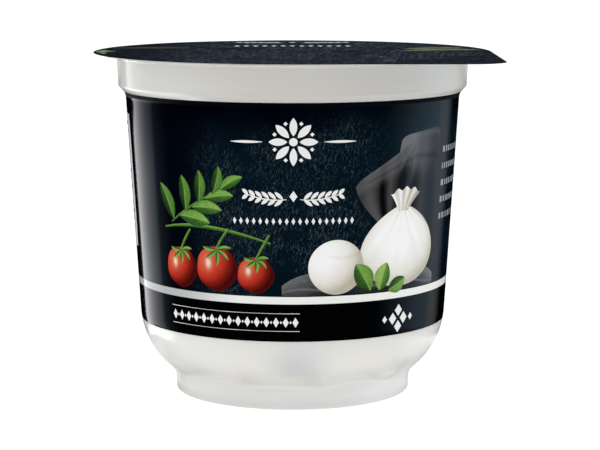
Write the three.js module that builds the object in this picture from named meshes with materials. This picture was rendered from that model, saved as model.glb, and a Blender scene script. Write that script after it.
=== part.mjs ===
import * as THREE from 'three';

// A sealed round tub for one fresh cheese in its liquid, in millimetres, Z up.
// The axis of the tub is the Z axis and the foot stands on z = 0. The front of the label faces -Y.

// Driving dimensions.
const totalHeight = 81.5;
const lidRadius = 47.5;
const lidThickness = 0.2;
const tabCornerRadius = 8.4;
const flangeRadius = 45.3;
const flangeThickness = 0.5;
const flangeFillet = 0.9;
const collarTopRadius = 42;
const collarBottomRadius = 41.75;
const collarBottomZ = 73;
const collarEdgeRadius = 1.1;
const shelfFillet = 2.7;
const wallSlope = 0.061;
const wallTopZ = 70.8;
const bowlTopRadius = 36.83;
const bowlTopZ = 19.7;
const bowlRadius = 19.36;
const footRadius = 28.4;
const footBottomRadius = 28.2;
const footEdgeRadius = 0.5;
const standWidth = 3.4;
const dishDepth = 1.2;

// The label lies in a shallow recess, so its outer face is level with the wall of the cup.
const labelTopZ = 72.4;
const labelBottomZ = 17.8;
const labelThickness = 0.3;
const labelGap = 0.2;

// Five flat facets draw the bowl in just above the foot, with round stretches as wide between them.
// The first is turned from the front of the label towards +X. Angles are in degrees, and the last
// two are the angles below the horizontal, along the bowl's arc, between which the facets come in.
const facetCount = 5;
const facetCentreAngle = 30.5;
const facetHalfWidth = 18;
const facetStart = 20;
const facetFull = 52;

// Fineness of the meshes.
const segments = 100;
const bowlRings = 8;
const arcSteps = 3;
const flareSteps = 5;
const outlineSteps = 40;

const lidBottomZ = totalHeight - lidThickness;
const flangeBottomZ = lidBottomZ - flangeThickness;
const toRadians = THREE.MathUtils.degToRad;

// Unit vector out of the conical wall, and the centre of the bowl's arc below it.
const wallNormal = new THREE.Vector2(1, -wallSlope).normalize();
const bowlCentre = new THREE.Vector2(bowlTopRadius, bowlTopZ).addScaledVector(wallNormal, -bowlRadius);
const wallTilt = Math.atan2(wallNormal.y, wallNormal.x);

// Radius of the conical wall at height z.
function wallRadius(z) {
  return bowlTopRadius + wallSlope * (z - bowlTopZ);
}

// Points of an arc as [radius, z] pairs, from one angle to another, both in radians.
function arc(centreRadius, centreZ, radius, from, to, steps) {
  const points = [];
  for (let i = 0; i <= steps; i += 1) {
    const angle = from + ((to - from) * i) / steps;
    points.push([centreRadius + radius * Math.cos(angle), centreZ + radius * Math.sin(angle)]);
  }
  return points;
}

// Angle of a point on the circle, for column i. A column runs up the middle of each facet.
function columnAngle(i) {
  return toRadians(facetCentreAngle - 90) + (2 * Math.PI * i) / segments;
}

// The facets' share of the full radius: a flat chord across each facet, and 1 between them.
function facetFactor(angle) {
  const pitch = (2 * Math.PI) / facetCount;
  const turn = (angle + Math.PI / 2 - toRadians(facetCentreAngle)) / pitch;
  const fromMiddle = Math.abs(turn - Math.round(turn)) * pitch;
  return Math.min(1, Math.cos(toRadians(facetHalfWidth)) / Math.cos(fromMiddle));
}

// The concave flare from the wall out to the shelf under the collar, and the rounded shelf edge.
function flare() {
  const centreRadius = wallRadius(wallTopZ) + wallNormal.x * shelfFillet;
  const centreZ = wallTopZ + wallNormal.y * shelfFillet;
  const start = Math.PI + wallTilt;
  return arc(centreRadius, centreZ, shelfFillet, start, start - toRadians(65), flareSteps);
}

function collar() {
  const edgeCentre = collarBottomRadius - collarEdgeRadius;
  return [
    ...arc(edgeCentre, collarBottomZ + collarEdgeRadius, collarEdgeRadius, toRadians(-60), 0, arcSteps),
    [collarTopRadius, flangeBottomZ - flangeFillet],
    ...arc(
      collarTopRadius + flangeFillet,
      flangeBottomZ - flangeFillet,
      flangeFillet,
      Math.PI,
      Math.PI / 2,
      arcSteps,
    ).slice(1),
    [flangeRadius, flangeBottomZ],
    [flangeRadius, lidBottomZ],
  ];
}

// The wall from the bottom of the label up to the lid, the same all round.
function upperProfile() {
  const inset = labelThickness + labelGap;
  const outer = [...flare(), ...collar()];
  const covered = outer.filter(([, z]) => z < labelTopZ).map(([radius, z]) => [radius - inset, z]);
  const open = outer.filter(([, z]) => z > labelTopZ);
  const lastCovered = covered[covered.length - 1];
  return [
    [wallRadius(labelBottomZ) - inset, labelBottomZ],
    ...covered,
    [lastCovered[0] + 0.1, labelTopZ],
    ...open,
  ];
}

// A closed body from rings of points round the axis, closed by one point at each end of the axis.
function loft(rings, bottomZ, topZ) {
  const positions = [];
  const indices = [];
  for (const ring of rings) {
    for (let i = 0; i < segments; i += 1) {
      const [radius, z] = ring(columnAngle(i));
      positions.push(radius * Math.cos(columnAngle(i)), radius * Math.sin(columnAngle(i)), z);
    }
  }
  const bottom = rings.length * segments;
  positions.push(0, 0, bottomZ, 0, 0, topZ);
  for (let i = 0; i < segments; i += 1) {
    const next = (i + 1) % segments;
    for (let ring = 0; ring + 1 < rings.length; ring += 1) {
      const low = ring * segments;
      const high = low + segments;
      indices.push(low + i, low + next, high + next, low + i, high + next, high + i);
    }
    const top = (rings.length - 1) * segments;
    indices.push(bottom, next, i, bottom + 1, top + i, top + next);
  }
  const geometry = new THREE.BufferGeometry();
  geometry.setAttribute('position', new THREE.Float32BufferAttribute(positions, 3));
  geometry.setIndex(indices);
  geometry.computeVertexNormals();
  return geometry;
}

// Angle along the bowl's arc where the faceted bowl reaches the radius of the foot.
function seamAngle(angle) {
  return -Math.acos((footRadius / facetFactor(angle) - bowlCentre.x) / bowlRadius);
}

// A point of the bowl: share 0 is the seam above the foot, share 1 is the bottom of the label.
function bowlPoint(angle, share) {
  const labelEdge = Math.asin((labelBottomZ - bowlCentre.y) / bowlRadius);
  const along = THREE.MathUtils.lerp(seamAngle(angle), labelEdge, share);
  const blend = THREE.MathUtils.smoothstep(-along, toRadians(facetStart), toRadians(facetFull));
  const radius = bowlCentre.x + bowlRadius * Math.cos(along);
  return [radius * THREE.MathUtils.lerp(1, facetFactor(angle), blend), bowlCentre.y + bowlRadius * Math.sin(along)];
}

function cupGeometry() {
  const standInner = footBottomRadius - standWidth;
  const edge = arc(
    footBottomRadius - footEdgeRadius,
    footEdgeRadius,
    footEdgeRadius,
    -Math.PI / 2,
    0,
    arcSteps,
  );
  const foot = [
    [standInner - dishDepth, dishDepth],
    [standInner, 0],
    ...edge,
  ];
  const rings = foot.map((point) => () => point);
  for (let i = 0; i <= bowlRings; i += 1) {
    rings.push((angle) => bowlPoint(angle, i / bowlRings));
  }
  for (const point of upperProfile()) {
    rings.push(() => point);
  }
  return loft(rings, dishDepth, lidBottomZ);
}

// The label is a closed sleeve: up its outer face, and down again a label's thickness further in.
function labelGeometry() {
  const outer = [
    [wallRadius(labelBottomZ), labelBottomZ],
    ...flare().filter(([, z]) => z < labelTopZ),
  ];
  const last = outer[outer.length - 1];
  outer.push([last[0] + 0.1, labelTopZ]);
  const inner = outer.map(([radius, z]) => [radius - labelThickness, z]).reverse();
  const profile = [...outer, ...inner, outer[0]].map(([radius, z]) => new THREE.Vector2(radius, z));
  const geometry = new THREE.LatheGeometry(profile, segments, toRadians(facetCentreAngle));
  geometry.rotateX(Math.PI / 2);
  return geometry;
}

// The lid's outline is a circle whose front right quarter runs out square: that corner is the pull tab.
function lidOutline() {
  const tabCentre = lidRadius - tabCornerRadius;
  const shape = new THREE.Shape();
  shape.absarc(0, 0, lidRadius, 0, 1.5 * Math.PI, false);
  shape.absarc(tabCentre, -tabCentre, tabCornerRadius, -Math.PI / 2, 0, false);
  shape.closePath();
  return shape;
}

function lidGeometry() {
  const geometry = new THREE.ExtrudeGeometry(lidOutline(), {
    depth: lidThickness,
    bevelEnabled: false,
    curveSegments: outlineSteps,
  });
  geometry.translate(0, 0, lidBottomZ);
  return geometry;
}

function piece(name, geometry, color, roughness) {
  const material = new THREE.MeshStandardMaterial({ color, roughness, metalness: 0 });
  const mesh = new THREE.Mesh(geometry, material);
  mesh.name = name;
  return mesh;
}

const tub = new THREE.Group();
tub.add(piece('cup', cupGeometry(), 0xe2e2de, 0.35));
tub.add(piece('label', labelGeometry(), 0x14181f, 0.3));
tub.add(piece('lid', lidGeometry(), 0x222b38, 0.45));

export default tub;
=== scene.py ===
import bpy
import math
import numpy as np
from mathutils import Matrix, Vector


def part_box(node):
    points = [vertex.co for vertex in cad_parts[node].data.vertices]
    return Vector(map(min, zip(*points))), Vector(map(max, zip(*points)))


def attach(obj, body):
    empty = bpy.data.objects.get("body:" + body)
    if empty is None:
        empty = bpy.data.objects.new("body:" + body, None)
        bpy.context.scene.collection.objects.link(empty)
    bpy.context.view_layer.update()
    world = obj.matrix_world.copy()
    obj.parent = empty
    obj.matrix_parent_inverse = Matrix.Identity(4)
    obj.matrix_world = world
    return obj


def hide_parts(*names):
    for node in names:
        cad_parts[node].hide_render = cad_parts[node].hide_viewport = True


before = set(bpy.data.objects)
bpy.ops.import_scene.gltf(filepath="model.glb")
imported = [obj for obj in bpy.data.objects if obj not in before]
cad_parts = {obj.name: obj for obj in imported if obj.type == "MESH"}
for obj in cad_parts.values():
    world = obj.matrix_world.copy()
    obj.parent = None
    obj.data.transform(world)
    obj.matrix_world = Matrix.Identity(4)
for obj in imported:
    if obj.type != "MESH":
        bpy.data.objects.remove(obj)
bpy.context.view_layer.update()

mm = 0.001
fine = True


def makeObject(name, points, faces, values=None, sharpAngle=35.0):
    # points in millimetres, faces as lists of point numbers, values as one number a point by name
    mesh = bpy.data.meshes.new(name)
    mesh.from_pydata((np.asarray(points) * mm).tolist(), [], faces)
    mesh.polygons.foreach_set("use_smooth", np.ones(len(mesh.polygons), bool))
    mesh.set_sharp_from_angle(angle=math.radians(sharpAngle))
    for key, numbers in (values or {}).items():
        layer = mesh.attributes.new(key, "FLOAT", "POINT")
        layer.data.foreach_set("value", np.asarray(numbers, np.float32))
    made = bpy.data.objects.new(name, mesh)
    bpy.context.scene.collection.objects.link(made)
    return made


def bandFaces(low, high, columns):
    # quads between rings, from the number of the first point of each lower and each upper ring
    column = np.arange(columns)
    beside = (column + 1) % columns
    quads = np.stack([low + column, low + beside, high + beside, high + column], -1)
    return quads.reshape(-1, 4).tolist()


def loftFaces(rings, columns):
    # bands between neighbouring rings, and a fan to the pole at each end;
    # the poles are numbered after the last ring
    first = np.arange(rings - 1)[:, None] * columns
    column = np.arange(columns)
    beside = (column + 1) % columns
    last = (rings - 1) * columns
    pole = np.full(columns, rings * columns)
    lowFan = np.stack([beside, column, pole], -1)
    highFan = np.stack([last + column, last + beside, pole + 1], -1)
    return bandFaces(first, first + columns, columns) + lowFan.tolist() + highFan.tolist()


def closedLoft(name, grid, lowPole, highPole, values=None):
    # grid[ring, column] = (x, y, z); both ends close on a single point
    points = np.concatenate([grid.reshape(-1, 3), [lowPole, highPole]])
    return makeObject(name, points, loftFaces(*grid.shape[:2]), values)


def closedRing(name, grid):
    # a sleeve: rings round the axis, of which the last joins the first
    rings, columns = grid.shape[:2]
    first = np.arange(rings)[:, None] * columns
    return makeObject(name, grid.reshape(-1, 3), bandFaces(first, np.roll(first, -1, 0), columns))


def dress(piece, material, node=None):
    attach(piece, "root")
    if node:
        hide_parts(node)
    piece.data.materials.append(material)
    print(piece.name, len(piece.data.polygons))


def smoothStep(value, low, high):
    # 0 at low, 1 at high and t^2 (3 - 2t) between; it falls where low is the larger number
    t = np.clip((value - low) / (high - low), 0.0, 1.0)
    return t * t * (3.0 - 2.0 * t)


def bell(value, middle, width):
    # 1 at the middle, e^-1 one width away from it
    return np.exp(-((value - middle) / width) ** 2)


def quadratic(t, start, corner, end):
    # (1-t)^2 start + 2t(1-t) corner + t^2 end
    return (1.0 - t) ** 2 * start + 2.0 * t * (1.0 - t) * corner + t * t * end


def asShare(u):
    # a disc's -1..1 as 0..1
    return (u + 1.0) / 2.0


def arcPoints(centreR, centreZ, radius, fromDeg, toDeg, count):
    # a circular arc in the profile plane: centre + radius * (cos, sin)
    t = np.radians(np.linspace(fromDeg, toDeg, count))
    return np.stack([centreR + radius * np.cos(t), centreZ + radius * np.sin(t)], -1)


def linePoints(start, end, count):
    t = np.linspace(0.0, 1.0, count)[:, None]
    return np.asarray(start) * (1.0 - t) + np.asarray(end) * t


def turned(profile, columns):
    # a profile of (radius, height) carried once round the Z axis
    theta = 2.0 * math.pi * np.arange(columns) / columns
    radius = profile[:, 0][:, None]
    height = np.repeat(profile[:, 1][:, None], columns, 1)
    return np.stack([radius * np.sin(theta), -radius * np.cos(theta), height], -1)


def newMaterial(name):
    material = bpy.data.materials.new(name)
    material.use_nodes = True
    tree = material.node_tree
    return material, tree, tree.nodes["Principled BSDF"]


def plug(tree, socket, value):
    if isinstance(value, bpy.types.NodeSocket):
        tree.links.new(value, socket)
    elif isinstance(value, (tuple, list)) and socket.type == "RGBA" and len(value) == 3:
        socket.default_value = (*value, 1.0)
    else:
        socket.default_value = value


def fill(tree, node, inputs):
    for key, value in inputs.items():
        plug(tree, node.inputs[key], value)


def addNode(tree, kind, inputs=None, **settings):
    made = tree.nodes.new(kind)
    for key, value in settings.items():
        setattr(made, key, value)
    fill(tree, made, inputs or {})
    return made


def calc(tree, operation, *values):
    return addNode(tree, "ShaderNodeMath", dict(enumerate(values)), operation=operation).outputs[0]


def times(tree, first, *others):
    for other in others:
        first = calc(tree, "MULTIPLY", first, other)
    return first


def mixColours(tree, factor, first, second):
    inputs = {0: factor, 6: first, 7: second}
    return addNode(tree, "ShaderNodeMix", inputs, data_type="RGBA", blend_type="MIX").outputs[2]


def softRange(tree, value, low, high):
    # 0 at low, 1 at high, eased between
    inputs = {"Value": value, "From Min": low, "From Max": high}
    return addNode(tree, "ShaderNodeMapRange", inputs, interpolation_type="SMOOTHSTEP").outputs[0]


def between(tree, value, low, high, blur):
    # 1 inside low..high, 0 outside, with soft edges
    rise = softRange(tree, value, low - blur, low + blur)
    return times(tree, rise, softRange(tree, value, high + blur, high - blur))


def stretched(tree, place, scale):
    # a place times one number or three
    factor = tuple(np.ones(3) * scale)
    return addNode(tree, "ShaderNodeVectorMath", {0: place, 1: factor}, operation="MULTIPLY").outputs[0]


def objectPlace(tree, scale=1.0):
    # Object coordinates in millimetres, stretched by scale
    coords = addNode(tree, "ShaderNodeTexCoord").outputs["Object"]
    return stretched(tree, coords, 1000.0 * np.asarray(scale))


def turnedPlace(tree, place, angle, scale):
    # a place turned about Z, then stretched
    inputs = {"Vector": place, "Angle": angle}
    made = addNode(tree, "ShaderNodeVectorRotate", inputs, rotation_type="Z_AXIS")
    return stretched(tree, made.outputs[0], scale)


def axes(tree, place):
    return addNode(tree, "ShaderNodeSeparateXYZ", {0: place}).outputs


def noiseAt(tree, place, detail=2.0, roughness=0.5, distortion=0.0):
    inputs = {"Vector": place, "Scale": 1.0, "Detail": detail}
    inputs.update({"Roughness": roughness, "Distortion": distortion})
    return addNode(tree, "ShaderNodeTexNoise", inputs).outputs["Fac"]


def objectNoise(tree, scale, **settings):
    return noiseAt(tree, objectPlace(tree, scale), **settings)


def attribute(tree, name):
    return addNode(tree, "ShaderNodeAttribute", attribute_name=name).outputs["Fac"]


def ramp(tree, value, stops):
    # colours along a value, each stop a (place, colour) pair
    made = addNode(tree, "ShaderNodeValToRGB", {0: value})
    bar = made.color_ramp
    for index, (place, colour) in enumerate(stops):
        stop = bar.elements[index] if index < 2 else bar.elements.new(place)
        stop.position = place
        stop.color = (*colour, 1.0)
    return made.outputs[0]


def bumpFrom(tree, shader, height, strength, distance):
    inputs = {"Height": height, "Strength": strength, "Distance": distance * mm}
    plug(tree, shader.inputs["Normal"], addNode(tree, "ShaderNodeBump", inputs).outputs["Normal"])


cameraLook = {
    "distance": 510.0,       # from the tub's axis, mm
    "height": 111.87,
    "pitch": 8.09,           # degrees below level
    "focal": 127.5,
    "sensor": 36.0,
    "shiftX": 0.0125,
    "clipStart": 0.01,       # metres
}

cameraData = bpy.data.cameras.new("viewCamera")
cameraData.lens = cameraLook["focal"]
cameraData.sensor_width = cameraLook["sensor"]
cameraData.shift_x = cameraLook["shiftX"]
cameraData.clip_start = cameraLook["clipStart"]
camera = bpy.data.objects.new("viewCamera", cameraData)
camera.location = (0.0, -cameraLook["distance"] * mm, cameraLook["height"] * mm)
camera.rotation_euler = (math.radians(90.0 - cameraLook["pitch"]), 0.0, 0.0)
bpy.context.scene.collection.objects.link(camera)
bpy.context.scene.camera = camera
print("camera set")

lidLow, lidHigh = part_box("lid")
labelLow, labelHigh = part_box("label")
cupLow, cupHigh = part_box("cup")

cup = {
    "columns": 300 if fine else 150,
    "bowlRings": 46,
    "footRings": 14,
    "filletRings": 11,
    "hiddenRings": 12,
    "flangeRadius": cupHigh.x / mm,
    "flangeTop": cupHigh.z / mm,
    "flangeThickness": 0.5,
    "flangeFillet": 0.9,
    "flangeEdge": 0.18,
    "collarTopRadius": 42.0,
    "collarBottomRadius": 41.75,
    "collarBottom": 73.0,
    "collarEdge": 1.1,
    "shelfFillet": 2.7,
    "wallSlope": 0.061,
    "wallTop": 70.8,
    "underLabel": 0.45,      # how far the wall lies under the label's face
    "bowlTopRadius": 36.83,
    "bowlTop": 19.7,
    "bowlRadius": 19.36,
    "footTopRadius": 28.4,
    "footBottomRadius": 28.2,
    "footEdge": 0.5,
    "seamRise": 2.2,         # the fillet over the foot starts this far up the bowl
    "seamDrop": 1.0,         # and ends this far down the foot's wall
    "gapRise": 1.2,          # both are longer between two facets
    "gapDrop": 0.8,
    "standWidth": 3.4,
    "dishDepth": 1.2,
    "nubRadius": 2.6,
    "nubDrop": 0.7,
    "facetCount": 5,
    "facetCentre": 30.5,
    "facetHalfWidth": 18.0,
    "facetSoftness": 0.004,
    "facetStart": 20.0,
    "facetFull": 52.0,
}

wallTilt = -math.atan(cup["wallSlope"])
bowlCentreR = cup["bowlTopRadius"] - cup["bowlRadius"] * math.cos(wallTilt)
bowlCentreZ = cup["bowlTop"] - cup["bowlRadius"] * math.sin(wallTilt)


def wallRadius(z):
    # the conical wall: a straight line in height
    return cup["bowlTopRadius"] + cup["wallSlope"] * (z - cup["bowlTop"])


flareCentreR = wallRadius(cup["wallTop"]) + cup["shelfFillet"] * math.cos(wallTilt)
flareCentreZ = cup["wallTop"] + cup["shelfFillet"] * math.sin(wallTilt)
edgeCentreR = cup["collarBottomRadius"] - cup["collarEdge"]
edgeCentreZ = cup["collarBottom"] + cup["collarEdge"]


def shelfTangent():
    # the angle in degrees at which one straight line leaves the flare's arc and meets the collar's
    # edge: the direction between the two centres, turned by acos((R1 + R2) / distance)
    across, up = flareCentreR - edgeCentreR, flareCentreZ - edgeCentreZ
    turn = math.acos((cup["shelfFillet"] + cup["collarEdge"]) / math.hypot(across, up))
    return math.degrees(math.atan2(up, across) + turn)


def labelFace(z):
    # radius of the label's outer face at height z: the bowl's arc at its foot, the cone,
    # and the flare's hollow arc at its top
    z = np.asarray(z, float)
    inFlare = np.clip(cup["shelfFillet"] ** 2 - (z - flareCentreZ) ** 2, 0.0, None)
    inBowl = np.clip(cup["bowlRadius"] ** 2 - (z - bowlCentreZ) ** 2, 0.0, None)
    low = np.where(z < cup["bowlTop"], bowlCentreR + np.sqrt(inBowl), wallRadius(z))
    return np.where(z > cup["wallTop"], flareCentreR - np.sqrt(inFlare), low)


def fromFacet(theta):
    # the angle from the middle of the nearest facet
    pitch = 2.0 * math.pi / cup["facetCount"]
    turn = (theta - math.radians(cup["facetCentre"])) / pitch
    return np.abs(turn - np.round(turn)) * pitch


def facetFactor(theta):
    # share of the full radius: a chord across each facet, eased into the round between them
    fromMiddle = fromFacet(theta)
    depth = 1.0 - math.cos(math.radians(cup["facetHalfWidth"])) / np.cos(fromMiddle)
    return 1.0 - 0.5 * (depth + np.sqrt(depth * depth + cup["facetSoftness"] ** 2))


def gapShare(theta):
    # 0 on a facet, 1 between two
    edge = cup["facetHalfWidth"]
    return smoothStep(np.degrees(fromFacet(theta)), edge - 0.5, edge + 4.0)


def bowlShape(theta, rings):
    # from the fillet over the foot up to the label's lower edge, by the angle along the bowl's arc;
    # each facet's factor comes in with depth. Also the height where the bowl would meet the foot
    factor = facetFactor(theta)
    seam = -np.arccos((cup["footTopRadius"] / factor - bowlCentreR) / cup["bowlRadius"])
    low = seam + (cup["seamRise"] + cup["gapRise"] * gapShare(theta)) / cup["bowlRadius"]
    top = math.asin((labelLow.z / mm - 0.02 - bowlCentreZ) / cup["bowlRadius"])
    share = np.linspace(0.0, 1.0, rings)[:, None]
    along = low[None, :] * (1.0 - share) + top * share
    blend = smoothStep(-along, math.radians(cup["facetStart"]), math.radians(cup["facetFull"]))
    radius = (bowlCentreR + cup["bowlRadius"] * np.cos(along)) * (1.0 + blend * (factor - 1.0))
    height = bowlCentreZ + cup["bowlRadius"] * np.sin(along)
    return radius, height, bowlCentreZ + cup["bowlRadius"] * np.sin(seam)


def collarProfile():
    # shelf edge, collar wall, fillet and the rounded flange under the lid
    flangeBottom = cup["flangeTop"] - cup["flangeThickness"]
    edge, fillet, lip = cup["collarEdge"], cup["flangeFillet"], cup["flangeEdge"]
    outer = cup["flangeRadius"] - lip
    collarTop = (cup["collarTopRadius"], flangeBottom - fillet)
    return np.concatenate([
        arcPoints(edgeCentreR, edgeCentreZ, edge, shelfTangent(), 0.0, 12),
        linePoints((cup["collarBottomRadius"], cup["collarBottom"] + edge), collarTop, 14)[1:],
        arcPoints(cup["collarTopRadius"] + fillet, collarTop[1], fillet, 180.0, 90.0, 9)[1:],
        linePoints((cup["collarTopRadius"] + fillet, flangeBottom), (outer, flangeBottom), 4)[1:],
        arcPoints(outer, flangeBottom + lip, lip, -90.0, 0.0, 5)[1:],
        arcPoints(outer, cup["flangeTop"] - lip, lip, 0.0, 90.0, 5),
        linePoints((outer, cup["flangeTop"]), (cup["collarTopRadius"] - 3.0, cup["flangeTop"]), 4)[1:],
    ])


def underProfile():
    # the moulding nub in the middle, the shallow dish and the ring that the tub stands on
    inner = cup["footBottomRadius"] - cup["standWidth"]
    edge, depth, nub = cup["footEdge"], cup["dishDepth"], cup["nubRadius"]
    return np.concatenate([
        linePoints((0.6, depth - cup["nubDrop"]), (nub - 0.8, depth - cup["nubDrop"]), 3),
        arcPoints(nub - 0.3, depth - cup["nubDrop"] + 0.5, 0.5, -60.0, 0.0, 4),
        arcPoints(nub + 0.5, depth - 0.2, 0.2, 150.0, 90.0, 3),
        linePoints((nub + 0.8, depth), (inner - 1.6, depth), 8),
        arcPoints(inner - 1.6, depth - 0.6, 0.6, 90.0, 30.0, 4)[1:],
        arcPoints(inner + 0.3, 0.5, 0.5, 210.0, 270.0, 4),
        arcPoints(cup["footBottomRadius"] - edge, edge, edge, -90.0, 0.0, 7),
    ])


def cupGrid():
    theta = 2.0 * math.pi * np.arange(cup["columns"]) / cup["columns"]
    bowlR, bowlZ, seamZ = bowlShape(theta, cup["bowlRings"])
    # the foot's wall rises towards the seam's own height at each angle, and a hollow fillet
    # joins it to the bowl
    edge = cup["footEdge"]
    share = np.linspace(0.0, 1.0, cup["footRings"])[1:, None]
    footZ = edge + (seamZ - cup["seamDrop"] - cup["gapDrop"] * gapShare(theta) - edge) * share
    slope = (cup["footTopRadius"] - cup["footBottomRadius"]) / (seamZ - edge)
    footR = cup["footBottomRadius"] + slope * (footZ - edge)
    share = np.linspace(0.0, 1.0, cup["filletRings"])[1:-1, None]
    filletR = quadratic(share, footR[-1], cup["footTopRadius"], bowlR[0])
    filletZ = quadratic(share, footZ[-1], seamZ, bowlZ[0])
    # under the label the wall lies a little inside; above it the flare comes out again
    hidden = np.linspace(labelLow.z / mm, labelHigh.z / mm, cup["hiddenRings"])
    hiddenR = labelFace(hidden) - cup["underLabel"]
    start = 180.0 - math.degrees(math.asin((labelHigh.z / mm - flareCentreZ) / cup["shelfFillet"]))
    flare = arcPoints(flareCentreR, flareCentreZ, cup["shelfFillet"], start, 180.0 + shelfTangent(), 4)
    upper = np.concatenate([np.stack([hiddenR, hidden], -1), flare, collarProfile()])

    def spread(column):
        return np.repeat(np.asarray(column)[:, None], len(theta), 1)

    under = underProfile()
    radius = np.concatenate([spread(under[:, 0]), footR, filletR, bowlR, spread(upper[:, 0])])
    height = np.concatenate([spread(under[:, 1]), footZ, filletZ, bowlZ, spread(upper[:, 1])])
    return np.stack([radius * np.sin(theta), -radius * np.cos(theta), height], -1), height - seamZ


def step(key, off, on):
    # marks a place on the cup by an eased step over one of its numbers, 0 at off and 1 at on
    return lambda at: smoothStep(at[key], off, on)


def hill(key, middle, width):
    # the same by a bell curve
    return lambda at: bell(at[key], middle, width)


front = hill("turn", -8.0, 16.0)
brine = (hill("turn", 1.0, 10.0), step("overSeam", 2.0, 5.5), step("overSeam", 15.0, 6.0))
collar = step("height", 69.0, 71.5)
footSide = step("overSeam", 0.6, -0.5)
bowlLeft = (step("turn", -46.0, -58.0), step("overSeam", 4.0, 6.0), step("height", 16.5, 14.0))
bowlRight = (step("turn", 38.0, 50.0), step("height", 17.5, 16.5))
outline = (step("turn", -66.0, -80.0), step("turn", -140.0, -110.0))
underLabel = (step("turn", 28.0, 55.0), step("height", 16.0, 17.0), step("height", 71.5, 69.0))
edgeLight = (step("turn", -31.0, -40.0), step("turn", -140.0, -100.0), hill("height", 73.5, 0.45))
underFlange = step("height", 79.9, 80.6)

# painted light and shade on the wall, and the brine seen behind it, as a factor on the plastic's colour:
# each row adds its first number times the product of its marks. They are over the height and the height
# over the bowl's seam in mm, and over the turn from the front and from the nearest facet's middle in
# degrees, or they are shares by name
paintedLightAndBrineRows = [
    (1.19,),  # the bowl
    (-0.17, step("height", 3.0, 0.0)),  # painted shade on the foot's lowest part
    (-0.10, "facet", "nearSeam", step("overSeam", 4.8, 1.4)),  # a band of painted shade over the seam on a facet
    (-0.13, "gap", "nearSeam", step("overSeam", 6.4, 2.0)),  # a taller band of painted shade between two facets
    # and more painted shade where the two meet
    (-0.085, hill("facetTurn", cup["facetHalfWidth"] + 2.0, 8.0), "nearSeam", step("overSeam", 7.5, 4.0)),
    (0.08, "gap", hill("overSeam", 0.95, 0.28)),  # a painted highlight on the seam's own line there
    (-0.11, "gap", front, hill("overSeam", -0.1, 0.5)),  # and its shade at the front
    (-0.20, *brine),  # clear brine behind the wall
    (0.12, step("turn", 22.0, 62.0), footSide),  # painted light on the foot's right side
    (-0.05, step("turn", -4.0, -20.0), footSide),  # and painted shade on its left
    (0.05, *bowlRight, step("overSeam", 5.5, 7.5)),  # painted light on the bowl's right side
    (-0.08, *bowlRight, hill("overSeam", 4.6, 1.5)),  # a band of painted shade under that
    (0.20, *bowlRight, hill("overSeam", 1.8, 1.4)),  # and a band of painted light over the seam
    (-0.07, *bowlLeft),  # painted shade on the bowl's left side, but not its outline, which has painted light over the seam
    (0.07, *bowlLeft, *outline),
    (0.10, *outline, step("overSeam", 0.5, 1.5), step("overSeam", 9.0, 6.0)),
    (-0.03, *underLabel),  # a strip of painted shade under the label on the right
    (-0.155, collar),  # painted shade on the collar, and more at its front
    (-0.035, hill("turn", 0.0, 34.0), collar),
    (-0.10, hill("height", 73.5, 0.9)),  # painted shade on the collar's rounded lower edge
    (0.32, *edgeLight),  # on the left a painted highlight along it, standing for light that comes through
    (-0.112, *edgeLight, step("turn", -58.0, -75.0)),  # though the painted highlight is less towards the side
    (0.13, underFlange),  # painted light on the fillet under the flange, but painted shade on the right
    (-0.208, underFlange, step("turn", 4.0, 40.0)),
]

# 0 is warm, 1 is cool
coolness = [
    (0.45,),
    (-0.32, collar, front),
    (0.35, *brine),
    (0.2, step("overSeam", 0.5, -1.5)),  # the foot
]


def addedUp(rows, at):
    # the sum over the rows of amount times the product of the marks
    total = 0.0
    for amount, *marks in rows:
        for mark in marks:
            amount = amount * (at[mark] if isinstance(mark, str) else mark(at))
        total = total + amount
    return total


def cupTones(grid, overSeam):
    # the painted light and shade with the brine, and the coolness, a number a point each
    turn = np.arctan2(grid[..., 0], -grid[..., 1])
    gap = gapShare(turn)
    at = {
        "height": grid[..., 2],
        "turn": np.degrees(turn),
        "overSeam": overSeam,
        "facetTurn": np.degrees(fromFacet(turn)),
        "gap": gap,
        "facet": 1.0 - gap,
        "nearSeam": smoothStep(overSeam - 0.3 * gap, -0.1, 0.9),
    }
    return addedUp(paintedLightAndBrineRows, at), addedUp(coolness, at)


plastic = {
    "colours": [(0.0, (0.672, 0.645, 0.595)), (0.5, (0.663, 0.658, 0.633)), (1.0, (0.615, 0.635, 0.652))],
    "cloud": (0.03, 0.03, 0.04),
    "patch": (0.06, 0.06, 0.1),
    "patchPower": 0.5,       # how far the hue strays in soft patches
    "roughness": 0.12,
    "roughMore": 0.05,       # and more where the surface is cloudy
    "inputs": {
        "IOR": 1.49,
        "Specular IOR Level": 0.4,
        "Subsurface Weight": 0.45,
        "Subsurface Radius": (1.0, 0.98, 0.92),
        "Subsurface Scale": 0.003,
    },
    "grain": (0.5, 0.5, 0.15),
    "relief": (0.08, 0.05),
}


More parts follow.
